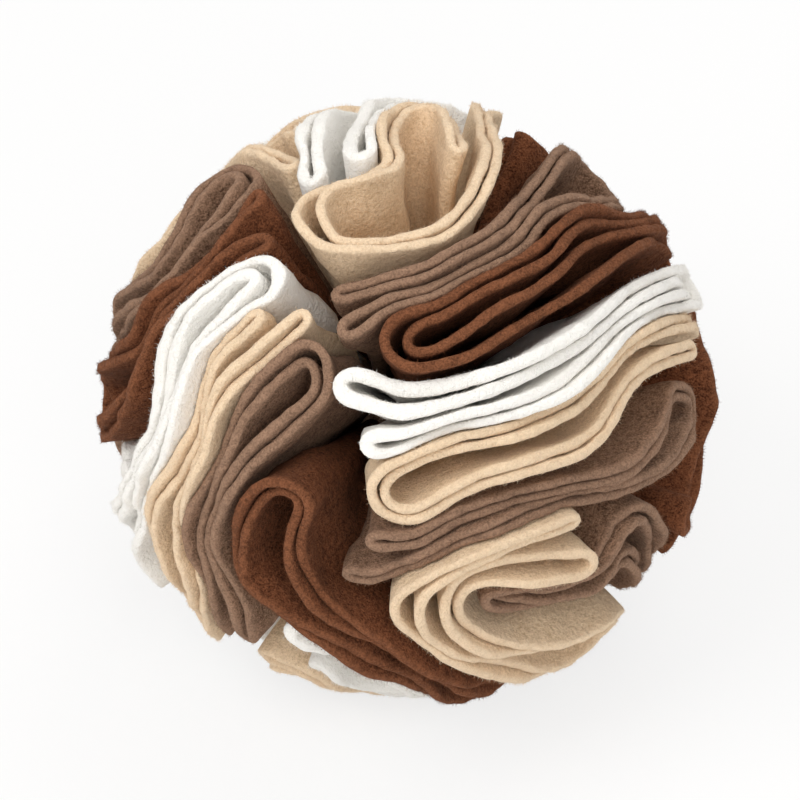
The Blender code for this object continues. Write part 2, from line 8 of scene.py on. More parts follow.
import bpy
import numpy as np
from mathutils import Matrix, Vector


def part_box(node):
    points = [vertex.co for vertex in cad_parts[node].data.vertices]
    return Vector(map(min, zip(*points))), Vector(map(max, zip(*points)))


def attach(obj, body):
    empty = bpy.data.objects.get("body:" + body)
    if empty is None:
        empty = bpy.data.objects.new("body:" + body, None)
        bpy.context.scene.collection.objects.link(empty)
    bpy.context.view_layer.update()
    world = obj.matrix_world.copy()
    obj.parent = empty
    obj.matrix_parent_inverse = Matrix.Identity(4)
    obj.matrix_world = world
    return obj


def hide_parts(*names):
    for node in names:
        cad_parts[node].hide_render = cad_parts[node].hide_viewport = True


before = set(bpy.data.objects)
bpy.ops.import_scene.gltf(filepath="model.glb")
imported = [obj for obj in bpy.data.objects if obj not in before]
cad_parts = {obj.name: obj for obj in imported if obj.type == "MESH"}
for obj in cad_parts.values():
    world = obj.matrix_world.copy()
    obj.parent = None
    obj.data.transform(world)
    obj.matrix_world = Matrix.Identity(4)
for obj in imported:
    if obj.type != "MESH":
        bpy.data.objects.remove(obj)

bl_info = {
    "name": "Snuffle ball dressing",
    "version": (1, 0, 0),
    "blender": (4, 5, 0),
    "location": "View3D > Sidebar > Snuffle ball",
    "description": "Dresses a snuffle ball's solids in folded fleece",
    "category": "Object",
}

# Driving sizes of the solids, in metres, and from the ball's middle down to the floor that flattens it
BALL_RADIUS = 0.0900
FLEECE = 0.0030
LAYER_ROOM = 0.0004
CORE_RADIUS = 0.0240
SEAT = 0.0003
COVER = 0.0012
FLAT_DEPTH = 0.0045
FLOOR_DEPTH = BALL_RADIUS - FLAT_DEPTH

# Cut edges: how far they stand out along one loop, and the least and most that a loop measures
RIM_WAVE_SHARE = 0.02
RIM_WAVES = 7
WAVE_SHIFT_SHARE = 0.38
LOOP_LEAST_SHARE = 0.94
LOOP_MOST_SHARE = 1.08

# Spacing of the loops: points along them, rounds of easing and the shares moved in each round
POINT_STEP_SHARE = 0.75
ROUNDS = 200
PAIRS_EVERY = 12
LENGTH_SHARE = 0.5
SMOOTH_SHARE = 0.25
PUSH_SHARE = 1.2
HOLD_SHARE = 0.08
HOLD_FROM_SHARE = 0.1
HOLD_OVER_SHARE = 0.4
REACH_SHARE = 1.9
SKIP_SHARE = 1.6

# Points on a curve between two rows of a table, on a whole route, round its end and along a far arm,
# and the points that are compared with all others at a time
CURVE_STEPS = 24
ROUTE_POINTS = 400
TURN_POINTS = 9
ARM_POINTS = 17
PAIR_ROWS = 1024

# The far side's folds: half the spread of the two arms, half the slit in each, and their sway
ARM_SPREAD_DEGREES = 3.4
SLIT_DEGREES = 1.2
SWAY_DEGREES = 1.4
SWAYS = 3
TIP_SHARE = 0.6

# The picture that the seen routes were drawn over: its side, the ball's middle and radius in it, and
# the camera's height
PICTURE_PIXELS = 800
VIEW_MIDDLE_PIXELS = (405, 399)
VIEW_RADIUS_PIXELS = 300
VIEW_ELEVATION_DEGREES = 40

# A fleece wall: its lowest ring, the rounding of its cut edge as depth and width, the depths of its
# rows, and the steps of the curve between two points of its loop
ROOT = CORE_RADIUS + SEAT
EDGE_SHARES = ((0.0, 0.0), (0.10, 0.5), (0.34, 0.8), (0.65, 0.95), (1.0, 1.0))
WALL_DEPTHS = (0.0015, 0.004, 0.0075, 0.012, 0.018, 0.026, 0.036, 0.048)
FINE_STEPS = 8

# Thickness: the room left beside a neighbour, how near one has to be to press, the share of a turn's
# radius that the fleece fills, the rounds of smoothing, and patches where it is pressed thinner
LEAST_ROOM = 0.0002
NEAR_SHARE = 1.5
TURN_SHARE = 0.9
THICKNESS_ROUNDS = 2
PRESSED_LENGTH = 0.0075
PRESSED_SHARE = 0.14

# Lengths of the cut edge's ripples and of the walls' bends, and the heights over which the bends die
# out above the core and under the ball's surface, which is taken a little further out
LONG_RIPPLE = 0.019
SHORT_RIPPLE = 0.0065
SHORT_RIPPLE_SHARE = 0.35
BEND_LENGTH = 0.034
RUFFLE_LENGTH = 0.011
STILL_AT_ROOT = 0.012
STILL_AT_RIM = 0.020
STILL_RIM_SHARE = 1.01

# A direction that falls less than this never meets the floor
LEAST_FALL = 0.05

# A smooth field: its number of waves and the spread of their lengths
FIELD_WAVES = 9
FIELD_SPREAD = (0.75, 1.35)

# Seeds, to which a disc's number, an axis or a half of the cover is added; the ripples' seed is the
# disc's number alone
PRESSED_SEED = 400
BEND_SEED = 900
RUFFLE_SEED = 910
NAP_SEED = 7000
COVER_SEED = 60
STUFFING_SEED = 70

# Nap: the share of fibres on the cut edge, how deep the others lie and how they thin out, where a
# fibre is rooted, how far one on the wall leans up, how unruly they are, and their sizes' spread
NAP_EDGE_SHARE = 0.65
NAP_DEPTH = 0.012
NAP_THINNING = 1.5
NAP_ROOT_SHARE = 0.96
NAP_ROOT_DEPTH = 0.0002
NAP_LEAN = 0.15
NAP_DISORDER = 0.75
NAP_WIDTHS = (0.6, 1.0)
NAP_LENGTHS = (0.35, 1.0)
SPIKE_TURNS = (0, 2 * math.pi / 3, 4 * math.pi / 3)
SPIKE_FACES = ((0, 2, 1), (0, 1, 3), (1, 2, 3), (2, 0, 3))

# The core: rings and sides of its mesh, the cap that a pole's point closes, the gathers at the seam,
# how far they reach from it, and the unevenness of the cloth and of the filling
COVER_RINGS = 40
COVER_SIDES = 120
COVER_CAP_DEGREES = 2
GATHERS = 28
GATHER_DRAW = 1.6
SEAM_REACH = 0.0035
COVER_UNEVEN = 0.0002
COVER_WAVE = 0.008
STUFFING_RINGS = 48
STUFFING_SIDES = 96
STUFFING_CAP_DEGREES = 3
STUFFING_WAVE = 0.007

# The pile's speckle: scale, detail, roughness and weight of its noises, and the sums that are dark
# and pale
SPECKLES = ((1700.0, 2.0, 0.7, 0.55), (650.0, 3.0, 0.6, 0.30), (130.0, 2.0, 0.5, 0.15))
SPECKLE_DARK = 0.39
SPECKLE_PALE = 0.59

# The pile's finish: how much deeper in colour its dark speckles are, how pale the painted highlight on its
# cut edge is and how far down the wall that painted highlight fades out, its roughness and shine, and the
# depth of its clumps
DEEPER = 1.3
EDGE_HIGHLIGHT_PALER = 0.85
EDGE_HIGHLIGHT_FADE_SHARE = 0.045
PILE_ROUGHNESS = 0.95
PILE_SHINE = 0.1
SHEEN_ROUGHNESS = 0.5
CLUMP_DEPTH = 0.0008

# Each colour's fleece: how far it swells where it has room, its dark speckles, the painted highlight that
# makes its cut edge paler, its sheen, and how much light it scatters under its surface and how deep
LOOKS = {
    "white": dict(puff=1.60, dark_share=0.97, edge_highlight_share=0.20, sheen=0.08, glow=0.25, glow_depth=0.002),
    "tan": dict(puff=1.08, dark_share=0.74, edge_highlight_share=0.45, sheen=0.15, glow=0.15, glow_depth=0.002),
    "taupe": dict(puff=1.06, dark_share=0.36, edge_highlight_share=0.35, sheen=0.17, glow=0.0, glow_depth=0.001),
    "chocolate": dict(puff=1.06, dark_share=0.31, edge_highlight_share=0.25, sheen=0.10, glow=0.0, glow_depth=0.001),
}

# The stage: the camera's sensor in millimetres and its reach in metres, the paper's grey, the light
# from all sides, and the lamps as name, watts, size, place and colour
SENSOR = 36.0
CAMERA_REACH = 50
PAPER_GREY = 0.90
SKY_COLOUR = (1, 0.99, 0.975, 1)
SKY_STRENGTH = 0.51
LAMPS = (
    ("key", 9.5, 0.9, (-0.80, -0.55, 1.20), (1, 0.985, 0.965)),
    ("front", 9.1, 1.0, (0.20, -1.25, 1.15), (1, 0.99, 0.97)),
    ("top", 5.3, 0.9, (0.45, 0.60, 1.25), (1, 0.99, 0.97)),
)

# Folded discs in sight: name, colour, how far the cut edge stands out, and its route in pixels of the
# picture as rows of across, down and half the width between the two layers. Past the ball's outline
# the pixels go on round the ball.
SEEN_DISCS = (
    ("tan_top", "tan", 1.00, (
        (458, 152, 6), (451, 132, 5), (444, 117, 4), (424, 110, 4), (402, 113, 4), (388, 128, 5),
        (388, 142, 5), (394, 158, 5), (386, 172, 4), (362, 184, 4), (335, 191, 6), (311, 212, 13),
        (323, 240, 9), (345, 252, 5), (385, 248, 5), (425, 240, 5), (455, 225, 5), (475, 200, 5),
        (487, 172, 5), (490, 148, 4), (486, 128, 4), (482, 108, 4), (490, 90, 5), (506, 72, 5))),
    ("white_top", "white", 0.99, (
        (362, 158, 10), (362, 135, 11), (367, 112, 9), (390, 90, 7), (420, 68, 5), (446, 46, 5),
        (482, 36, 5), (515, 12, 5), (544, 12, 6), (566, -4, 7), (556, -28, 6), (530, -32, 5),
        (505, -20, 5), (470, -6, 5), (436, 18, 5), (405, 42, 5), (370, 62, 6), (338, 92, 8),
        (316, 122, 9), (309, 150, 9), (312, 176, 8))),
    ("taupe_upper_right", "taupe", 0.98, (
        (338, 292, 7), (365, 288, 4), (400, 281, 4), (430, 274, 4), (455, 260, 4), (480, 247, 5),
        (505, 228, 6), (525, 203, 6), (545, 178, 6), (566, 150, 6), (598, 138, 8), (628, 162, 8),
        (630, 192, 5), (600, 202, 4), (568, 205, 4), (540, 215, 4), (522, 235, 4), (500, 256, 4),
        (470, 268, 4), (445, 284, 4), (420, 296, 4), (395, 303, 5), (370, 318, 7), (350, 331, 9))),
    ("chocolate_upper_right", "chocolate", 1.02, (
        (690, 213, 3), (665, 216, 3), (640, 223, 3), (610, 220, 4), (580, 223, 5), (558, 238, 6),
        (537, 260, 8), (505, 276, 9), (470, 292, 9), (440, 312, 7), (412, 322, 8), (394, 343, 10),
        (410, 362, 8), (437, 359, 8), (467, 346, 11), (497, 325, 12), (530, 307, 11), (560, 288, 13),
        (585, 266, 15), (612, 249, 12), (640, 241, 6), (665, 236, 4), (692, 232, 3))),
    ("white_right", "white", 1.02, (
        (352, 386, 12), (375, 393, 12), (400, 401, 11), (430, 398, 9), (470, 388, 8), (515, 372, 7),
        (560, 349, 7), (595, 324, 7), (622, 302, 6), (650, 286, 5), (674, 278, 5), (694, 284, 6),
        (690, 303, 6), (664, 308, 4), (635, 319, 5), (608, 342, 6), (585, 367, 7), (555, 391, 7),
        (520, 406, 7), (480, 417, 7), (440, 429, 8), (400, 442, 10), (374, 442, 9))),
    ("tan_right", "tan", 1.00, (
        (700, 318, 4), (678, 320, 4), (650, 330, 4), (620, 346, 4), (600, 373, 4), (570, 402, 4),
        (535, 420, 4), (500, 432, 4), (460, 438, 4), (430, 448, 4), (400, 462, 5), (379, 480, 6),
        (382, 503, 6), (402, 513, 6), (426, 508, 6), (450, 493, 6), (476, 477, 5), (505, 468, 5),
        (540, 457, 5), (570, 448, 6), (597, 430, 5), (617, 402, 5), (637, 375, 4), (662, 358, 4),
        (688, 350, 4))),
    ("taupe_right", "taupe", 0.98, (
        (374, 536, 7), (397, 537, 5), (425, 533, 4), (455, 520, 4), (490, 509, 4), (525, 500, 4),
        (560, 487, 4), (597, 480, 4), (630, 465, 5), (655, 440, 5), (672, 412, 5), (683, 392, 6),
        (697, 398, 6), (700, 412, 4), (690, 434, 4), (674, 457, 4), (650, 478, 4), (622, 491, 4),
        (597, 496, 4), (567, 501, 4), (535, 508, 4), (500, 521, 4), (465, 534, 4), (430, 552, 4),
        (400, 568, 4), (372, 580, 5), (350, 578, 6))),
    ("tan_bottom", "tan", 1.02, (
        (572, 515, 5), (540, 524, 6), (500, 537, 6), (465, 550, 7), (435, 566, 7), (415, 583, 8),
        (406, 603, 12), (420, 630, 8), (448, 648, 5), (480, 659, 4), (515, 665, 4), (550, 661, 5),
        (585, 649, 5), (608, 633, 5), (615, 617, 6), (603, 616, 4), (570, 632, 4), (530, 641, 4),
        (490, 637, 5), (460, 623, 6), (449, 603, 7), (456, 582, 8), (482, 567, 9), (520, 563, 11),
        (552, 560, 12), (577, 557, 12))),
    ("taupe_lower_right", "taupe", 0.98, (
        (760, 640, 5), (720, 615, 5), (685, 590, 5), (665, 565, 5), (660, 535, 6), (644, 514, 7),
        (625, 525, 6), (610, 548, 5), (590, 570, 5), (560, 585, 4), (520, 589, 5), (488, 598, 7),
        (520, 606, 5), (560, 602, 4), (592, 592, 4), (611, 572, 5), (626, 557, 6), (639, 568, 6),
        (640, 590, 5), (660, 612, 5), (695, 640, 5), (735, 665, 5))),
    ("chocolate_right", "chocolate", 1.02, (
        (678, 515, 7), (698, 492, 5), (712, 458, 5), (730, 420, 5), (730, 380, 5), (744, 335, 5),
        (732, 290, 5), (736, 250, 5), (720, 220, 6), (736, 204, 6), (764, 238, 5), (758, 285, 5),
        (772, 335, 5), (758, 385, 5), (758, 430, 5), (742, 475, 5), (722, 520, 5), (695, 550, 6))),
    ("white_left", "white", 1.02, (
        (122, 585, 4), (122, 550, 4), (128, 520, 4), (137, 490, 5), (147, 460, 6), (160, 430, 7),
        (167, 400, 8), (172, 368, 8), (184, 338, 8), (202, 312, 8), (224, 292, 9), (246, 277, 9),
        (266, 272, 10), (275, 286, 10), (255, 305, 9), (228, 326, 8), (207, 350, 8), (193, 380, 7),
        (185, 410, 7), (175, 440, 6), (158, 470, 5), (147, 500, 4), (143, 528, 4), (140, 558, 4),
        (143, 590, 4))),
    ("tan_left", "tan", 1.00, (
        (263, 321, 8), (240, 338, 8), (219, 360, 8), (207, 390, 7), (201, 420, 6), (191, 450, 6),
        (171, 477, 6), (157, 502, 5), (155, 528, 5), (163, 552, 5), (172, 577, 5), (180, 603, 5),
        (188, 630, 6), (205, 640, 6), (205, 615, 4), (200, 590, 4), (193, 568, 4), (184, 548, 4),
        (180, 523, 4), (184, 500, 4), (197, 475, 4), (208, 450, 4), (213, 425, 4), (224, 400, 5),
        (241, 378, 5), (263, 358, 5), (286, 339, 5), (306, 319, 7))),
    ("taupe_left", "taupe", 0.99, (
        (222, 632, 5), (212, 607, 5), (202, 572, 5), (194, 542, 5), (197, 512, 5), (212, 482, 6),
        (230, 447, 7), (245, 414, 7), (267, 386, 7), (290, 363, 7), (313, 353, 8), (322, 372, 8),
        (317, 397, 6), (292, 420, 4), (266, 444, 4), (243, 471, 4), (222, 501, 4), (211, 530, 5),
        (214, 556, 5), (226, 584, 6), (241, 608, 6), (250, 636, 5))),
    ("chocolate_left", "chocolate", 1.01, (
        (540, 702, 4), (505, 694, 4), (470, 684, 4), (430, 668, 4), (392, 648, 4), (355, 625, 4),
        (325, 600, 4), (306, 572, 4), (298, 545, 4), (303, 518, 4), (310, 500, 5), (298, 485, 5),
        (276, 483, 5), (258, 496, 5), (245, 520, 5), (240, 550, 5), (250, 579, 5), (276, 599, 5),
        (306, 616, 5), (337, 637, 5), (370, 660, 5), (410, 680, 5), (455, 697, 4), (500, 710, 4))),
    ("white_bottom", "white", 0.97, (
        (300, 636, 12), (332, 655, 12), (368, 677, 8), (408, 697, 6), (450, 716, 5), (492, 729, 5),
        (532, 733, 5), (568, 716, 5), (600, 712, 5), (625, 692, 6), (644, 704, 6), (628, 730, 6),
        (588, 736, 5), (550, 758, 5), (500, 754, 5), (440, 746, 5), (392, 724, 5), (350, 704, 5),
        (318, 682, 6))),
    ("tan_bottom_left", "tan", 0.99, (
        (272, 668, 6), (298, 690, 5), (325, 714, 5), (355, 738, 5), (395, 750, 5), (440, 776, 5),
        (495, 774, 5), (545, 790, 5), (585, 764, 5), (618, 752, 6), (628, 776, 6), (590, 798, 5),
        (550, 820, 5), (495, 804, 5), (440, 808, 5), (385, 778, 5), (340, 762, 5), (300, 726, 5),
        (275, 706, 6))),
    ("chocolate_far_left", "chocolate", 1.02, (
        (262, 207, 9), (243, 232, 6), (222, 258, 5), (197, 284, 5), (170, 297, 5), (157, 318, 5),
        (147, 343, 5), (124, 358, 6), (98, 370, 6), (72, 382, 7), (56, 405, 7), (66, 428, 7),
        (90, 434, 7), (115, 423, 6), (134, 400, 5), (146, 373, 4), (156, 345, 4), (169, 322, 4),
        (190, 307, 4), (215, 287, 4), (240, 266, 5), (270, 250, 8))),
    ("taupe_far_left", "taupe", 1.00, (
        (-10, 372, 6), (25, 362, 5), (62, 352, 5), (95, 338, 5), (127, 318, 6), (150, 303, 5),
        (170, 280, 5), (192, 250, 5), (216, 221, 5), (240, 196, 6), (250, 178, 7), (228, 178, 6),
        (200, 206, 6), (176, 238, 6), (153, 266, 6), (130, 285, 6), (102, 298, 5), (70, 310, 5),
        (35, 316, 5), (0, 318, 5), (-30, 322, 6))),
    ("tan_far_top", "tan", 0.98, (
        (290, 158, 8), (266, 150, 6), (240, 152, 5), (214, 162, 5), (188, 178, 5), (165, 198, 5),
        (142, 220, 5), (120, 243, 5), (96, 258, 5), (66, 254, 5), (40, 262, 5), (16, 246, 7),
        (18, 220, 6), (40, 222, 5), (66, 212, 5), (92, 214, 5), (118, 190, 5), (145, 165, 5),
        (178, 142, 5), (210, 125, 5), (242, 115, 5), (272, 112, 5), (298, 122, 6))),
    ("white_far_left", "white", 0.98, (
        (126, 478, 7), (104, 500, 5), (86, 545, 5), (100, 595, 5), (108, 645, 5), (150, 690, 5),
        (188, 724, 6), (190, 748, 6), (156, 744, 5), (122, 702, 5), (80, 665, 5), (74, 605, 5),
        (54, 550, 5), (74, 500, 5), (104, 463, 6))),
)

# Folded discs on the far side: name, colour, how far the cut edge stands out, and the middle line
# between its arms, in degrees right and up from the far side's middle, as seen from there.
FAR_DISCS = (
    ("white_back_upper", "white", 1.00, ((-9, 53), (-26, 46), (-43, 30), (-57, 9))),
    ("tan_back_upper", "tan", 0.99, ((-5, 37), (-22, 29), (-41, 11), (-61, -11))),
    ("taupe_back_middle", "taupe", 1.01, ((-5, 18), (-22, 9), (-39, -10), (-59, -30))),
    ("chocolate_back_lower", "chocolate", 1.00, ((-5, -1), (-20, -9), (-34, -23), (-43, -38))),
    ("white_back_lower", "white", 0.98, ((-3, -21), (-14, -24), (-23, -34), (-26, -46), (-18, -53))),
    ("chocolate_back_edge", "chocolate", 1.00, ((-30, 65), (-43, 51), (-55, 34), (-68, 8))),
    ("tan_back_low", "tan", 1.00, ((3, -34), (24, -31), (42, -17), (60, 4))),
    ("taupe_back_low", "taupe", 0.98, ((5, -16), (24, -12), (40, 3), (54, 20))),
    ("chocolate_back_high", "chocolate", 1.02, ((5, 1), (22, 7), (38, 23), (49, 46))),
    ("white_back_high", "white", 1.00, ((7, 18), (22, 28), (33, 43), (37, 64))),
    ("taupe_base", "taupe", 1.00, ((-5, -54), (10, -54), (27, -49), (44, -38), (58, -22), (71, -6))),
    ("tan_back_top", "tan", 0.99, ((2, 37), (12, 42), (16, 52), (8, 60), (3, 69), (13, 76), (30, 76))),
)

ELEVATION = math.radians(VIEW_ELEVATION_DEGREES)
VIEW_RIGHT = np.array((1.0, 0.0, 0.0))
VIEW_UP = np.array((0.0, math.sin(ELEVATION), math.cos(ELEVATION)))
VIEW_TOWARDS = np.array((0.0, -math.cos(ELEVATION), math.sin(ELEVATION)))


def unit(vectors):
    """The vectors at length one."""
    return vectors / np.linalg.norm(vectors, axis=-1, keepdims=True)


def in_view(across, up, towards):
    """Directions given by how far they point to the picture's right, to its top and at its camera."""
    return np.outer(across, VIEW_RIGHT) + np.outer(up, VIEW_UP) + np.outer(towards, VIEW_TOWARDS)


def from_picture(pixels):
    """Directions from the ball's middle of points drawn over the picture."""
    middle = np.array(VIEW_MIDDLE_PIXELS, float)
    across = (pixels[:, 0] - middle[0]) / VIEW_RADIUS_PIXELS
    up = (middle[1] - pixels[:, 1]) / VIEW_RADIUS_PIXELS
    reach = np.hypot(across, up)
    round_the_edge = math.pi / 2 + reach - 1
    angle = np.where(reach < 1, np.arcsin(np.minimum(reach, 1)), round_the_edge)
    share = np.sin(angle) / reach
    return in_view(across * share, up * share, np.cos(angle))


def from_far_side(degrees):
    """Directions of points given in degrees right and up from the middle of the far side."""
    across, up = np.radians(np.array(degrees, float)).T
    angle = np.hypot(across, up)
    share = np.sin(angle) / angle
    return in_view(-across * share, up * share, -np.cos(angle))


def smooth_between(a, b, c, d, share):
    """Rows at shares of the way from b to c, on the smooth curve through a, b, c and d."""
    curve = 2 * b + (c - a) * share
    curve += (2 * a - 5 * b + 4 * c - d) * share ** 2
    curve += (3 * b - a - 3 * c + d) * share ** 3
    return curve / 2


def evenly(rows, count, closed=False):
    """Evenly spaced rows on the line through the rows given, whose first three values are places."""
    run = np.concatenate(((0,), np.cumsum(np.linalg.norm(np.diff(rows[:, :3], axis=0), axis=1))))
    at = np.linspace(0, run[-1], count, endpoint=not closed)
    return np.column_stack([np.interp(at, run, column) for column in rows.T])


def smooth_line(points, count):
    """Evenly spaced rows on a smooth curve through the rows given, which hold a place and may hold more."""
    points = np.array(points, float)
    ends = np.vstack((2 * points[0] - points[1], points, 2 * points[-1] - points[-2]))
    share = np.linspace(0, 1, CURVE_STEPS, endpoint=False)[:, None]
    rows = [smooth_between(*four, share) for four in zip(ends, ends[1:], ends[2:], ends[3:])]
    return evenly(np.vstack(rows + [points[-1:]]), count)


def loop_lengths(loop):
    """The length of each segment of a closed loop."""
    return np.linalg.norm(np.roll(loop, -1, axis=0) - loop, axis=1)


def loop_round(route, half_gaps, step):
    """The closed loop that runs out along one side of a route and back along the other."""
    line = smooth_line(np.column_stack((route, half_gaps)), ROUTE_POINTS)
    place = unit(line[:, :3])
    gap = line[:, 3:]
    ahead = unit(np.gradient(place, axis=0))
    side = np.cross(place, ahead)
    turn = np.linspace(0, math.pi, TURN_POINTS)[1:-1, None]
    far_end = place[-1] + gap[-1] * (np.cos(turn) * side[-1] + np.sin(turn) * ahead[-1])
    near_end = place[0] - gap[0] * (np.cos(turn) * side[0] + np.sin(turn) * ahead[0])
    loop = unit(np.vstack((place + side * gap, far_end, (place - side * gap)[::-1], near_end)))
    run = np.concatenate(((0,), np.cumsum(loop_lengths(loop))))
    at = np.linspace(0, run[-1], round(run[-1] / step), endpoint=False)
    closed = np.vstack((loop, loop[:1]))
    return unit(np.column_stack([np.interp(at, run, column) for column in closed.T]))


def horseshoe(middle_line):
    """The route of a disc on the far side: out along one arm, round its bend and back along the other."""
    spread = math.radians(ARM_SPREAD_DEGREES)
    place = unit(smooth_line(middle_line, ARM_POINTS))
    share = np.linspace(0, 1, len(place))
    sway = math.radians(SWAY_DEGREES) * np.sin(2 * math.pi * SWAYS * share) * np.sin(math.pi * share)
    place = unit(place + np.cross(place, unit(np.gradient(place, axis=0))) * sway[:, None])
    side = np.cross(place, unit(np.gradient(place, axis=0))) * spread
    tip = place[-1] + unit(place[-1] - place[-2]) * spread * TIP_SHARE
    return unit(np.vstack((place + side, tip, (place - side)[::-1])))


class Loops:
    """All the cut edges as one row of points, and who follows whom along them."""

    def __init__(self, loops):
        self.sizes = [len(loop) for loop in loops]
        self.place = np.vstack(loops)
        self.owner = np.repeat(np.arange(len(loops)), self.sizes)
        self.order = np.concatenate([np.arange(size) for size in self.sizes])
        self.count = np.repeat(self.sizes, self.sizes)
        first = np.repeat(np.cumsum([0] + self.sizes[:-1]), self.sizes)
        self.after = first + (self.order + 1) % self.count
        self.before = first + (self.order - 1) % self.count

    def near_pairs(self, reach, skip):
        """Pairs of points closer than reach, without those less than skip apart along one loop."""
        small = self.place.astype(np.float32)
        found = []
        for start in range(0, len(small), PAIR_ROWS):
            one, other = np.nonzero(small[start:start + PAIR_ROWS] @ small.T > math.cos(reach))
            one = one + start
            apart = np.abs(self.order[one] - self.order[other])
            apart = np.minimum(apart, self.count[one] - apart)
            keep = (self.owner[one] != self.owner[other]) | (apart > skip)
            found.append(np.column_stack((one[keep], other[keep])))
        return np.vstack(found).T

    def offsets(self, one, other):
        """From the segment after each other point to the one point: the offset and the share along it."""
        start = self.place[other]
        along = self.place[self.after[other]] - start
        share = np.sum((self.place[one] - start) * along, axis=1) / np.sum(along * along, axis=1)
        share = np.clip(share, 0, 1)[:, None]
        return self.place[one] - start - along * share, share

    def split(self):
        """The loops as a list again."""
        return np.split(self.place, np.cumsum(self.sizes)[:-1])


def add_up(index, vectors, size):
    """The sum of the vectors that share an index."""
    return np.column_stack([np.bincount(index, column, size) for column in vectors.T])


def ease_apart(loops, rests, holds, step, clear):
    """Spreads the loops over the ball until every strand has the room that its fleece needs."""
    all_loops = Loops(loops)
    drawn = all_loops.place.copy()
    rest = np.repeat(rests, all_loops.sizes)
    hold = np.concatenate(holds)[:, None]
    size = len(drawn)
    after, before = all_loops.after, all_loops.before
    for turn in range(ROUNDS):
        if turn % PAIRS_EVERY == 0:
            one, other = all_loops.near_pairs(clear * REACH_SHARE, math.ceil(clear * SKIP_SHARE / step))
        place = all_loops.place
        ahead = place[after] - place
        length = np.linalg.norm(ahead, axis=1)
        pull = ahead * ((length - rest) / length / 2)[:, None]
        bend = (place[after] + place[before]) / 2 - place
        move = LENGTH_SHARE * (pull - pull[before]) + hold * (drawn - place)
        move += SMOOTH_SHARE * (bend - (bend[after] + bend[before]) / 2)
        offset, share = all_loops.offsets(one, other)
        distance = np.linalg.norm(offset, axis=1)
        close = distance < clear
        a, b, share = one[close], other[close], share[close]
        push = offset[close] * ((clear - distance[close]) / distance[close] / 2)[:, None]
        total = add_up(a, push, size)
        total -= add_up(b, push * (1 - share), size)
        total -= add_up(after[b], push * share, size)
        hits = sum(np.bincount(index, minlength=size) for index in (a, b, after[b]))
        all_loops.place = unit(place + move + PUSH_SHARE * total / np.maximum(hits, 1)[:, None])
    return all_loops.split()


def lay_out_discs():
    """The cut edge of every disc as a dense loop of directions, in the order of the two tables."""
    clear = (FLEECE + LAYER_ROOM) / BALL_RADIUS
    step = clear * POINT_STEP_SHARE
    loops, rests, holds = [], [], []
    for name, colour, stand, route in SEEN_DISCS:
        rows = np.array(route, float)
        loops.append(loop_round(from_picture(rows), rows[:, 2] / VIEW_RADIUS_PIXELS, step))
    for name, colour, stand, middle_line in FAR_DISCS:
        route = horseshoe(from_far_side(middle_line))
        loops.append(loop_round(route, np.full(len(route), math.radians(SLIT_DEGREES)), step))
    least, most = 2 * math.pi * LOOP_LEAST_SHARE, 2 * math.pi * LOOP_MOST_SHARE
    for loop in loops:
        rests.append(np.clip(loop_lengths(loop).sum(), least, most) / len(loop))
        in_sight = (loop @ VIEW_TOWARDS - HOLD_FROM_SHARE) / HOLD_OVER_SHARE
        holds.append(HOLD_SHARE * np.clip(in_sight, 0, 1))
    return ease_apart(loops, rests, holds, step, clear)


def half_thickness(loops, step, clear, puffs):
    """Half the fleece's angle at each point, less where strands or a tight turn press it thinner."""
    rows = Loops(loops)
    one, other = rows.near_pairs(clear * REACH_SHARE, math.ceil(clear * SKIP_SHARE / step))
    offset, share = rows.offsets(one, other)
    distance = np.linalg.norm(offset, axis=1)
    nearest = np.full(len(rows.place), clear * NEAR_SHARE)
    for index in (one, other, rows.after[other]):
        np.minimum.at(nearest, index, distance)
    half = (nearest - LEAST_ROOM / BALL_RADIUS) / 2
    ahead = unit(rows.place[rows.after] - rows.place)
    turn = np.linalg.norm(ahead - ahead[rows.before], axis=1)
    half = np.minimum(half, TURN_SHARE * step / np.maximum(turn, 1e-6))
    half = np.minimum(half, np.repeat(puffs, rows.sizes) * FLEECE / BALL_RADIUS / 2)
    for _ in range(THICKNESS_ROUNDS):
        half = np.minimum(half, (half[rows.after] + half[rows.before] + 2 * half) / 4)
    return np.split(half, np.cumsum(rows.sizes)[:-1])


def rounder(loop):
    """A loop with its small corners eased."""
    return unit(np.roll(loop, 1, axis=0) + 2 * loop + np.roll(loop, -1, axis=0))


LAYOUT = []


def layout():
    """Each disc's name, colour, how far it stands out, its loop and its half thickness, worked out once."""
    if not LAYOUT:
        clear = (FLEECE + LAYER_ROOM) / BALL_RADIUS
        rows = [row[:3] for row in SEEN_DISCS + FAR_DISCS]
        loops = [rounder(loop) for loop in lay_out_discs()]
        puffs = [LOOKS[colour]["puff"] for _, colour, _ in rows]
        halves = half_thickness(loops, clear * POINT_STEP_SHARE, clear, puffs)
        LAYOUT.extend((*row, loop, half) for row, loop, half in zip(rows, loops, halves))
    return LAYOUT


def waves(points, length, seed):
    """A smooth field from about -1 to 1: plane waves of about one length in seeded directions."""
    rng = np.random.default_rng(seed)
    ways = unit(rng.normal(size=(FIELD_WAVES, 3))) * (2 * math.pi / length)
    ways = ways * rng.uniform(*FIELD_SPREAD, (FIELD_WAVES, 1))
    phases = rng.uniform(0, 2 * math.pi, FIELD_WAVES)
    return np.sin(points @ ways.T + phases).sum(axis=1) / math.sqrt(FIELD_WAVES)


def finer(loop, values, count):
    """A closed loop of directions and its values at evenly spaced points of a smooth curve."""
    rows = np.column_stack((loop, values))
    share = (np.arange(FINE_STEPS) / FINE_STEPS)[:, None, None]
    curve = smooth_between(*(np.roll(rows, shift, axis=0) for shift in (1, 0, -1, -2)), share)
    curve = curve.transpose(1, 0, 2).reshape(-1, rows.shape[1])
    rows = evenly(np.vstack((curve, curve[:1])), count, closed=True)
    return unit(rows[:, :3]), rows[:, 3]


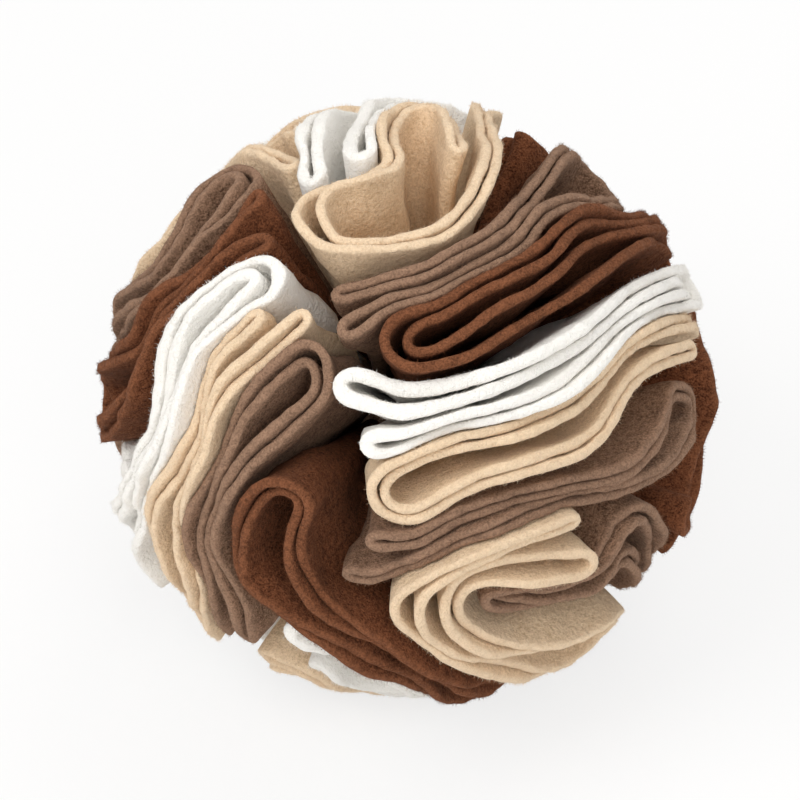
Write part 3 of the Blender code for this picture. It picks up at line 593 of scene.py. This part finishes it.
class Strip:
    """One disc's cut edge at a fine step: where it runs, how thick it is and how far out it stands."""

    def __init__(self, loop, half, stand, number, settings):
        self.count = round(loop_lengths(loop).sum() * BALL_RADIUS / settings.edge_step)
        self.place, self.half = finer(loop, half, self.count)
        along = unit(np.roll(self.place, -1, axis=0) - np.roll(self.place, 1, axis=0))
        self.side = np.cross(self.place, along)
        on_ball = self.place * BALL_RADIUS
        pressed = np.clip(0.5 + 0.5 * waves(on_ball, PRESSED_LENGTH, PRESSED_SEED + number), 0, 1)
        self.half = self.half * (1 - PRESSED_SHARE * pressed)
        turns = RIM_WAVES * np.linspace(0, 1, self.count, endpoint=False) + WAVE_SHIFT_SHARE * number
        self.rim = BALL_RADIUS * stand * (1 + RIM_WAVE_SHARE * np.sin(2 * math.pi * turns))
        for length, share in ((LONG_RIPPLE, 1.0), (SHORT_RIPPLE, SHORT_RIPPLE_SHARE)):
            self.rim = self.rim + share * settings.edge_ripple * waves(on_ball, length, number)
        self.bends = (
            (BEND_LENGTH, settings.wall_bend, BEND_SEED),
            (RUFFLE_LENGTH, settings.wall_ruffle, RUFFLE_SEED))

    def at(self, across, depth, rows=slice(None)):
        """Points at places across the fleece, -1 to 1, and depths below its cut edge, kept above the floor.

        With them come the depths as shares of the way from the cut edge to the core.
        """
        edge = self.place[rows] + self.side[rows] * (self.half[rows] * across)[:, None]
        radius = np.maximum(self.rim[rows] - depth, ROOT)
        under = FLOOR_DEPTH / np.maximum(-edge[:, 2], LEAST_FALL)
        radius = np.where(radius > under - depth, np.minimum(radius, under - depth), radius)
        points = edge * radius[:, None]
        free = np.clip((radius - ROOT) / STILL_AT_ROOT, 0, 1)
        free = free * np.clip((BALL_RADIUS * STILL_RIM_SHARE - radius) / STILL_AT_RIM, 0, 1)
        moves = [
            sum(far * waves(points, length, seed + axis) for length, far, seed in self.bends)
            for axis in range(3)]
        points = points + np.column_stack(moves) * free[:, None]
        points[:, 2] = np.maximum(points[:, 2], -FLOOR_DEPTH)
        return points, (self.rim[rows] - radius) / (BALL_RADIUS - ROOT)


def mesh_piece(name, points, faces, deep, smooth=True):
    """An object of the faces, whose points know how deep below the cut edge they lie."""
    data = bpy.data.meshes.new(name)
    data.from_pydata(points, (), faces)
    data.attributes.new("depth", "FLOAT", "POINT").data.foreach_set("value", deep.astype(np.float32))
    if smooth:
        data.shade_smooth()
    piece = bpy.data.objects.new(name, data)
    bpy.context.collection.objects.link(piece)
    return piece


def fleece_wall(name, strip, middle, settings):
    """One folded disc: a closed soft wall with a rounded cut edge."""
    crown = [(settings.edge_round * depth, across) for depth, across in EDGE_SHARES]
    wall = [(settings.edge_round + depth, 1.0) for depth in WALL_DEPTHS]
    one_side = crown + wall + [(BALL_RADIUS, 1.0)]
    profile = one_side[::-1] + [(depth, -across) for depth, across in one_side[1:]]
    rows = [strip.at(across, depth) for depth, across in profile]
    index = np.arange(len(profile) * strip.count).reshape(len(profile), strip.count)
    after, up = np.roll(index, -1, axis=1), np.roll(index, -1, axis=0)
    quads = np.stack((index, up, np.roll(up, -1, axis=1), after), axis=-1).reshape(-1, 4)
    points = np.vstack([row[0] for row in rows]) + middle
    return mesh_piece(name, points, quads, np.concatenate([row[1] for row in rows]))


def nap(name, strip, middle, number, settings):
    """Short loose fibres along the cut edge and the upper wall, each a slim closed spike."""
    rng = np.random.default_rng(NAP_SEED + number)
    count = round(strip.count * settings.edge_step * settings.fibres)
    rows = rng.integers(0, strip.count, count)
    on_edge = rng.random(count) < NAP_EDGE_SHARE
    side = rng.choice((-1.0, 1.0), count)
    across = np.where(on_edge, side * np.sqrt(rng.random(count)), side)
    depth = np.where(on_edge, 0.0, NAP_DEPTH * rng.random(count) ** NAP_THINNING)
    root, deep = strip.at(across * NAP_ROOT_SHARE, depth + NAP_ROOT_DEPTH, rows)
    outwards = np.where(on_edge, 1.0, NAP_LEAN)[:, None] * strip.place[rows]
    sideways = np.where(on_edge, 0.0, across)[:, None] * strip.side[rows]
    way = unit(outwards + sideways + NAP_DISORDER * rng.normal(size=(count, 3)))
    one = unit(np.cross(way, rng.normal(size=(count, 3))))
    other = np.cross(way, one)
    wide = settings.fibre_width * rng.uniform(*NAP_WIDTHS, count)[:, None] / 2
    corners = [root + wide * (math.cos(turn) * one + math.sin(turn) * other) for turn in SPIKE_TURNS]
    tip = root + way * settings.fibre_length * rng.uniform(*NAP_LENGTHS, count)[:, None]
    points = np.stack((*corners, tip), axis=1)
    above = points[:, :, 2].min(axis=1) > -FLOOR_DEPTH
    points, deep = points[above], deep[above]
    first = 4 * np.arange(len(points))[:, None, None]
    faces = (first + np.array(SPIKE_FACES)).reshape(-1, 3)
    return mesh_piece(name, points.reshape(-1, 3) + middle, faces, np.repeat(deep, 4), smooth=False)


def node(tree, kind, **values):
    """A shader node with its named inputs and settings filled in."""
    made = tree.nodes.new(kind)
    for key, value in values.items():
        if key in made.inputs:
            made.inputs[key].default_value = value
        else:
            setattr(made, key, value)
    return made


def speckles(tree):
    """The pile's noises, from fine to coarse, and for each the weighted sum of it and the finer ones."""
    place = node(tree, "ShaderNodeTexCoord")
    noises, sums = [], []
    for scale, detail, roughness, weight in SPECKLES:
        noise = node(tree, "ShaderNodeTexNoise", Scale=scale, Detail=detail, Roughness=roughness)
        tree.links.new(place.outputs["Object"], noise.inputs["Vector"])
        total = node(tree, "ShaderNodeMath", operation="MULTIPLY_ADD")
        tree.links.new(noise.outputs["Fac"], total.inputs[0])
        total.inputs[1].default_value = weight
        total.inputs[2].default_value = 0.0
        if sums:
            tree.links.new(sums[-1].outputs[0], total.inputs[2])
        noises.append(noise)
        sums.append(total)
    return noises, sums


def fleece_material(name, colour, look):
    """Napped fleece of a colour: speckled pile, a painted highlight that makes the cut edge paler, with
    sheen and clumped bump.
    """
    material = bpy.data.materials.new(name)
    material.use_nodes = True
    tree = material.node_tree
    link = tree.links.new
    shader = tree.nodes["Principled BSDF"]
    shader.inputs["Roughness"].default_value = PILE_ROUGHNESS
    shader.inputs["Sheen Weight"].default_value = look["sheen"]
    shader.inputs["Sheen Roughness"].default_value = SHEEN_ROUGHNESS
    shader.inputs["Sheen Tint"].default_value = (*(math.sqrt(part) for part in colour), 1)
    shader.inputs["Specular IOR Level"].default_value = PILE_SHINE
    shader.inputs["Subsurface Weight"].default_value = look["glow"]
    shader.inputs["Subsurface Radius"].default_value = (1.0, 1.0, 1.0)
    shader.inputs["Subsurface Scale"].default_value = look["glow_depth"]
    noises, sums = speckles(tree)
    ramp = node(tree, "ShaderNodeValToRGB")
    dark, pale = ramp.color_ramp.elements
    dark.position = SPECKLE_DARK
    dark.color = (*(look["dark_share"] * part ** DEEPER for part in colour), 1)
    pale.position = SPECKLE_PALE
    pale.color = (*colour, 1)
    link(sums[-1].outputs[0], ramp.inputs["Fac"])
    # Painted highlight: the cut edge is mixed towards a paler colour, and this fades out a little way down
    # the wall
    depth = node(tree, "ShaderNodeAttribute", attribute_name="depth")
    edge = node(tree, "ShaderNodeMapRange", interpolation_type="SMOOTHSTEP")
    edge.inputs["From Min"].default_value = 0.0
    edge.inputs["From Max"].default_value = EDGE_HIGHLIGHT_FADE_SHARE
    edge.inputs["To Min"].default_value = look["edge_highlight_share"]
    edge.inputs["To Max"].default_value = 0.0
    link(depth.outputs["Fac"], edge.inputs["Value"])
    # A mix node's colours are its inputs 6 and 7 and its output 2
    edge_highlight_mix = node(tree, "ShaderNodeMix", data_type="RGBA", blend_type="MIX")
    link(edge.outputs["Result"], edge_highlight_mix.inputs[0])
    link(ramp.outputs["Color"], edge_highlight_mix.inputs[6])
    edge_highlight_mix.inputs[7].default_value = (*(part ** EDGE_HIGHLIGHT_PALER for part in colour), 1)
    link(edge_highlight_mix.outputs[2], shader.inputs["Base Color"])
    clumps = node(tree, "ShaderNodeMath", operation="ADD")
    link(sums[1].outputs[0], clumps.inputs[0])
    link(noises[1].outputs["Fac"], clumps.inputs[1])
    bump = node(tree, "ShaderNodeBump", Strength=1.0, Distance=CLUMP_DEPTH)
    link(clumps.outputs[0], bump.inputs["Height"])
    link(bump.outputs["Normal"], shader.inputs["Normal"])
    return material


def colour_setting(name, description, default):
    """A colour of the add-on's settings."""
    return bpy.props.FloatVectorProperty(
        name=name, description=description, default=default, subtype="COLOR", size=3, min=0, max=1)


def length_setting(name, description, default, least, most):
    """A length of the add-on's settings, in metres."""
    return bpy.props.FloatProperty(
        name=name, description=description, default=default, min=least, max=most, unit="LENGTH")


class SnuffleColours(bpy.types.PropertyGroup):
    """The four colours of fleece."""
    white: colour_setting("White", "Colour of the white fleece", (0.985, 0.96, 0.915))
    tan: colour_setting("Tan", "Colour of the tan fleece", (0.88, 0.675, 0.465))
    taupe: colour_setting("Taupe", "Colour of the greyed brown fleece", (0.345, 0.203, 0.130))
    chocolate: colour_setting("Chocolate", "Colour of the red-brown fleece", (0.242, 0.088, 0.040))


class SnuffleFleece(bpy.types.PropertyGroup):
    """How finely the fleece is made and how it lies."""
    edge_step: length_setting(
        "Step along the edge", "Distance between two points of a cut edge", 0.0010, 0.0005, 0.005)
    edge_round: length_setting(
        "Rounding of the cut edge", "How far the pile rounds a cut edge off", 0.0010, 0, 0.003)
    edge_ripple: length_setting(
        "Unevenness of the cut", "How far the scissors strayed from a true circle", 0.0005, 0, 0.003)
    wall_bend: length_setting(
        "Waviness of the walls", "How far the folded layers bend between core and edge", 0.0016, 0, 0.005)
    wall_ruffle: length_setting(
        "Ruffle of the walls", "How far the layers ruffle along their edges", 0.00032, 0, 0.001)
    fibres: bpy.props.FloatProperty(
        name="Loose fibres", description="Loose fibres on each metre of cut edge",
        default=10000, min=0, max=40000)
    fibre_length: length_setting(
        "Fibre length", "Length of the longest loose fibres", 0.0013, 0.0002, 0.004)
    fibre_width: length_setting(
        "Fibre width", "Width of the widest loose fibres", 0.00013, 0.00002, 0.0005)


class SnuffleCore(bpy.types.PropertyGroup):
    """How the core is gathered and filled."""
    pucker: length_setting(
        "Depth of the gathers", "How far the seam draws the core's cover in", 0.0002, 0, 0.001)
    lump: length_setting(
        "Lumps of the filling", "How uneven the loose filling is", 0.0004, 0, 0.002)


class SnuffleStage(bpy.types.PropertyGroup):
    """Camera and floor."""
    lens: bpy.props.FloatProperty(
        name="Lens", description="Focal length in millimetres", default=300.0, min=20, max=600)
    paper: bpy.props.FloatProperty(
        name="Paper white", description="How much of the floor's shadow the camera doesn't see",
        default=0.75, min=0, max=1, subtype="FACTOR")
    floor_size: length_setting("Floor", "Side of the floor", 6.0, 1, 20)


def ball_middle():
    """The middle of the ball, which is that of its core."""
    low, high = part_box("core_stuffing")
    return np.array((low + high) / 2)


class SNUFFLE_OT_discs(bpy.types.Operator):
    """Lay the folded fleece discs of one colour round the core"""
    bl_idname = "snuffle.discs"
    bl_label = "Folded discs"
    bl_options = {"REGISTER", "UNDO"}

    colour: bpy.props.EnumProperty(name="Colour", items=[(name, name.title(), "") for name in LOOKS])

    def execute(self, context):
        shade = getattr(context.scene.snuffle_colours, self.colour)
        material = fleece_material("fleece_" + self.colour, shade, LOOKS[self.colour])
        middle = ball_middle()
        settings = context.scene.snuffle_fleece
        for number, (name, colour, stand, loop, half) in enumerate(layout()):
            if colour != self.colour:
                continue
            strip = Strip(loop, half, stand, number, settings)
            piece = fleece_wall("fleece_" + name, strip, middle, settings)
            fuzz = nap("nap_" + name, strip, middle, number, settings)
            for made_piece in (piece, fuzz):
                made_piece.data.materials.append(material)
                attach(made_piece, "root")
            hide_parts("disc_" + name)
        return {"FINISHED"}


def ball_surface(radius, first, last, rings, sides):
    """Rings of points on a ball between two angles from the top, as a (rings, sides, 3) array."""
    angle = np.linspace(first, last, rings)[:, None]
    turn = np.linspace(0, 2 * math.pi, sides, endpoint=False)[None, :]
    flat = radius * np.sin(angle)
    return np.stack((flat * np.cos(turn), flat * np.sin(turn), radius * np.cos(angle) + 0 * turn), axis=-1)


def round_faces(rings, sides):
    """Quads between rings of points, and triangles to the two poles whose points follow the rings'."""
    index = np.arange(rings * sides).reshape(rings, sides)
    beside = np.roll(index, -1, axis=1)
    quads = np.stack((index[:-1], index[1:], beside[1:], beside[:-1]), axis=-1).reshape(-1, 4).tolist()
    first = [(rings * sides, a, b) for a, b in zip(index[0], beside[0])]
    last = [(rings * sides + 1, b, a) for a, b in zip(index[-1], beside[-1])]
    return quads + first + last


def core_cover(name, flip, middle, settings):
    """Half of the core's cover: a bowl of cloth, gathered where it is sewn to the other half."""
    cap = math.radians(COVER_CAP_DEGREES)
    inside = CORE_RADIUS - COVER
    outer = ball_surface(CORE_RADIUS, cap, math.acos(SEAT / 2 / CORE_RADIUS), COVER_RINGS, COVER_SIDES)
    inner = ball_surface(inside, math.acos(SEAT / 2 / inside), cap, COVER_RINGS, COVER_SIDES)
    rows = np.vstack((outer, inner)).reshape(-1, 3)
    rows = np.vstack((rows, (0, 0, CORE_RADIUS), (0, 0, inside)))
    near_seam = np.exp(-np.abs(rows[:, 2]) / SEAM_REACH)
    turn = np.arctan2(rows[:, 1], rows[:, 0])
    gather = settings.pucker * near_seam * (np.sin(GATHERS * turn) - GATHER_DRAW)
    uneven = COVER_UNEVEN * waves(rows, COVER_WAVE, COVER_SEED + flip)
    rows = rows * (1 + (gather + uneven) / CORE_RADIUS)[:, None]
    rows = rows * (1, 1 - 2 * flip, 1 - 2 * flip)
    return mesh_piece(name, rows + middle, round_faces(2 * COVER_RINGS, COVER_SIDES), np.ones(len(rows)))


def core_stuffing(name, middle, settings):
    """The core's loose filling: a lumpy ball of fibre."""
    first, last = math.radians(STUFFING_CAP_DEGREES), math.radians(180 - STUFFING_CAP_DEGREES)
    radius = CORE_RADIUS - COVER - SEAT - settings.lump
    rows = ball_surface(radius, first, last, STUFFING_RINGS, STUFFING_SIDES).reshape(-1, 3)
    rows = np.vstack((rows, (0, 0, radius), (0, 0, -radius)))
    rows = rows * (1 + settings.lump * waves(rows, STUFFING_WAVE, STUFFING_SEED) / 2 / radius)[:, None]
    return mesh_piece(name, rows + middle, round_faces(STUFFING_RINGS, STUFFING_SIDES), np.ones(len(rows)))


class SNUFFLE_OT_core(bpy.types.Operator):
    """Make the small stuffed core that the tips are sewn to"""
    bl_idname = "snuffle.core"
    bl_label = "Stuffed core"
    bl_options = {"REGISTER", "UNDO"}

    def execute(self, context):
        middle = ball_middle()
        settings = context.scene.snuffle_core
        colours = context.scene.snuffle_colours
        cloth = fleece_material("core_cloth", colours.taupe, LOOKS["taupe"])
        for flip, half in enumerate(("upper", "lower")):
            cover = core_cover("cover_" + half, flip, middle, settings)
            cover.data.materials.append(cloth)
            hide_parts("core_cover_" + half)
            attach(cover, "root")
        filling = core_stuffing("stuffing", middle, settings)
        filling.data.materials.append(fleece_material("core_fibre", colours.white, LOOKS["white"]))
        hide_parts("core_stuffing")
        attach(filling, "root")
        return {"FINISHED"}


def lamp(name, energy, size, place, colour, target):
    """An area lamp aimed at a point."""
    data = bpy.data.lights.new(name, "AREA")
    data.energy = energy
    data.size = size
    data.color = colour
    made = bpy.data.objects.new(name, data)
    bpy.context.collection.objects.link(made)
    made.location = place
    made.rotation_euler = (target - made.location).to_track_quat("-Z", "Y").to_euler()


def paper_material(name, paper):
    """Pale studio paper that the camera sees nearly evenly lit, with the object's soft shadow."""
    material = bpy.data.materials.new(name)
    material.use_nodes = True
    tree = material.node_tree
    shade = tree.nodes["Principled BSDF"]
    shade.inputs["Base Color"].default_value = (PAPER_GREY, PAPER_GREY, PAPER_GREY, 1)
    shade.inputs["Roughness"].default_value = 1.0
    shade.inputs["Specular IOR Level"].default_value = 0.0
    glow = node(tree, "ShaderNodeEmission", Color=(1, 1, 1, 1), Strength=1.0)
    seen = node(tree, "ShaderNodeLightPath")
    share = node(tree, "ShaderNodeMath", operation="MULTIPLY")
    share.inputs[1].default_value = paper
    tree.links.new(seen.outputs["Is Camera Ray"], share.inputs[0])
    mix = node(tree, "ShaderNodeMixShader")
    tree.links.new(share.outputs[0], mix.inputs[0])
    tree.links.new(shade.outputs[0], mix.inputs[1])
    tree.links.new(glow.outputs[0], mix.inputs[2])
    tree.links.new(mix.outputs[0], tree.nodes["Material Output"].inputs["Surface"])
    return material


def picture_camera(lens, middle):
    """A camera that sees the ball at its height, place and size in the picture."""
    data = bpy.data.cameras.new("camera")
    data.lens = lens
    data.sensor_width = SENSOR
    data.clip_end = CAMERA_REACH
    camera = bpy.data.objects.new("camera", data)
    bpy.context.collection.objects.link(camera)
    per_pixel = data.sensor_width / data.lens / PICTURE_PIXELS
    away = BALL_RADIUS / math.sin(math.atan(per_pixel * VIEW_RADIUS_PIXELS))
    across, down = (PICTURE_PIXELS / 2 - pixel for pixel in VIEW_MIDDLE_PIXELS)
    shift = Vector(VIEW_RIGHT) * across - Vector(VIEW_UP) * down
    camera.location = middle + Vector(VIEW_TOWARDS) * away + shift * (BALL_RADIUS / VIEW_RADIUS_PIXELS)
    camera.rotation_euler = (math.pi / 2 - ELEVATION, 0, 0)
    return camera


class SNUFFLE_OT_stage(bpy.types.Operator):
    """Set the floor, the soft light and the camera"""
    bl_idname = "snuffle.stage"
    bl_label = "Stage"
    bl_options = {"REGISTER", "UNDO"}

    def execute(self, context):
        scene = context.scene
        stage = scene.snuffle_stage
        middle = Vector(ball_middle())
        bpy.ops.mesh.primitive_plane_add(size=stage.floor_size, location=(0, 0, 0))
        floor = context.object
        floor.name = "floor"
        floor.data.materials.append(paper_material("floor_paper", stage.paper))
        world = scene.world or bpy.data.worlds.new("world")
        scene.world = world
        world.use_nodes = True
        sky = world.node_tree.nodes["Background"]
        sky.inputs["Color"].default_value = SKY_COLOUR
        sky.inputs["Strength"].default_value = SKY_STRENGTH
        for row in LAMPS:
            lamp(*row, middle)
        scene.camera = picture_camera(stage.lens, middle)
        scene.view_settings.view_transform = "Standard"
        return {"FINISHED"}


class SNUFFLE_PT_panel(bpy.types.Panel):
    """Buttons and settings of the dressing"""
    bl_label = "Snuffle ball"
    bl_idname = "SNUFFLE_PT_panel"
    bl_space_type = "VIEW_3D"
    bl_region_type = "UI"
    bl_category = "Snuffle ball"

    def draw(self, context):
        for name in GROUPS:
            group = getattr(context.scene, name)
            for key in group.bl_rna.properties.keys():
                if key not in ("rna_type", "name"):
                    self.layout.prop(group, key)
        self.layout.operator_menu_enum("snuffle.discs", "colour")
        self.layout.operator("snuffle.core")
        self.layout.operator("snuffle.stage")


GROUPS = {
    "snuffle_colours": SnuffleColours, "snuffle_fleece": SnuffleFleece,
    "snuffle_core": SnuffleCore, "snuffle_stage": SnuffleStage}
CLASSES = (*GROUPS.values(), SNUFFLE_OT_discs, SNUFFLE_OT_core, SNUFFLE_OT_stage, SNUFFLE_PT_panel)


def register():
    for made in CLASSES:
        bpy.utils.register_class(made)
    for name, group in GROUPS.items():
        setattr(bpy.types.Scene, name, bpy.props.PointerProperty(type=group))


def unregister():
    for name in GROUPS:
        delattr(bpy.types.Scene, name)
    for made in reversed(CLASSES):
        bpy.utils.unregister_class(made)


def main():
    """Dresses the solids: the fleece discs of each colour, the core, and the stage."""
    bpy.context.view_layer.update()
    bpy.ops.object.select_all(action="DESELECT")
    register()
    for colour in LOOKS:
        bpy.ops.snuffle.discs(colour=colour)
    bpy.ops.snuffle.core()
    bpy.ops.snuffle.stage()


if __name__ == "__main__":
    main()
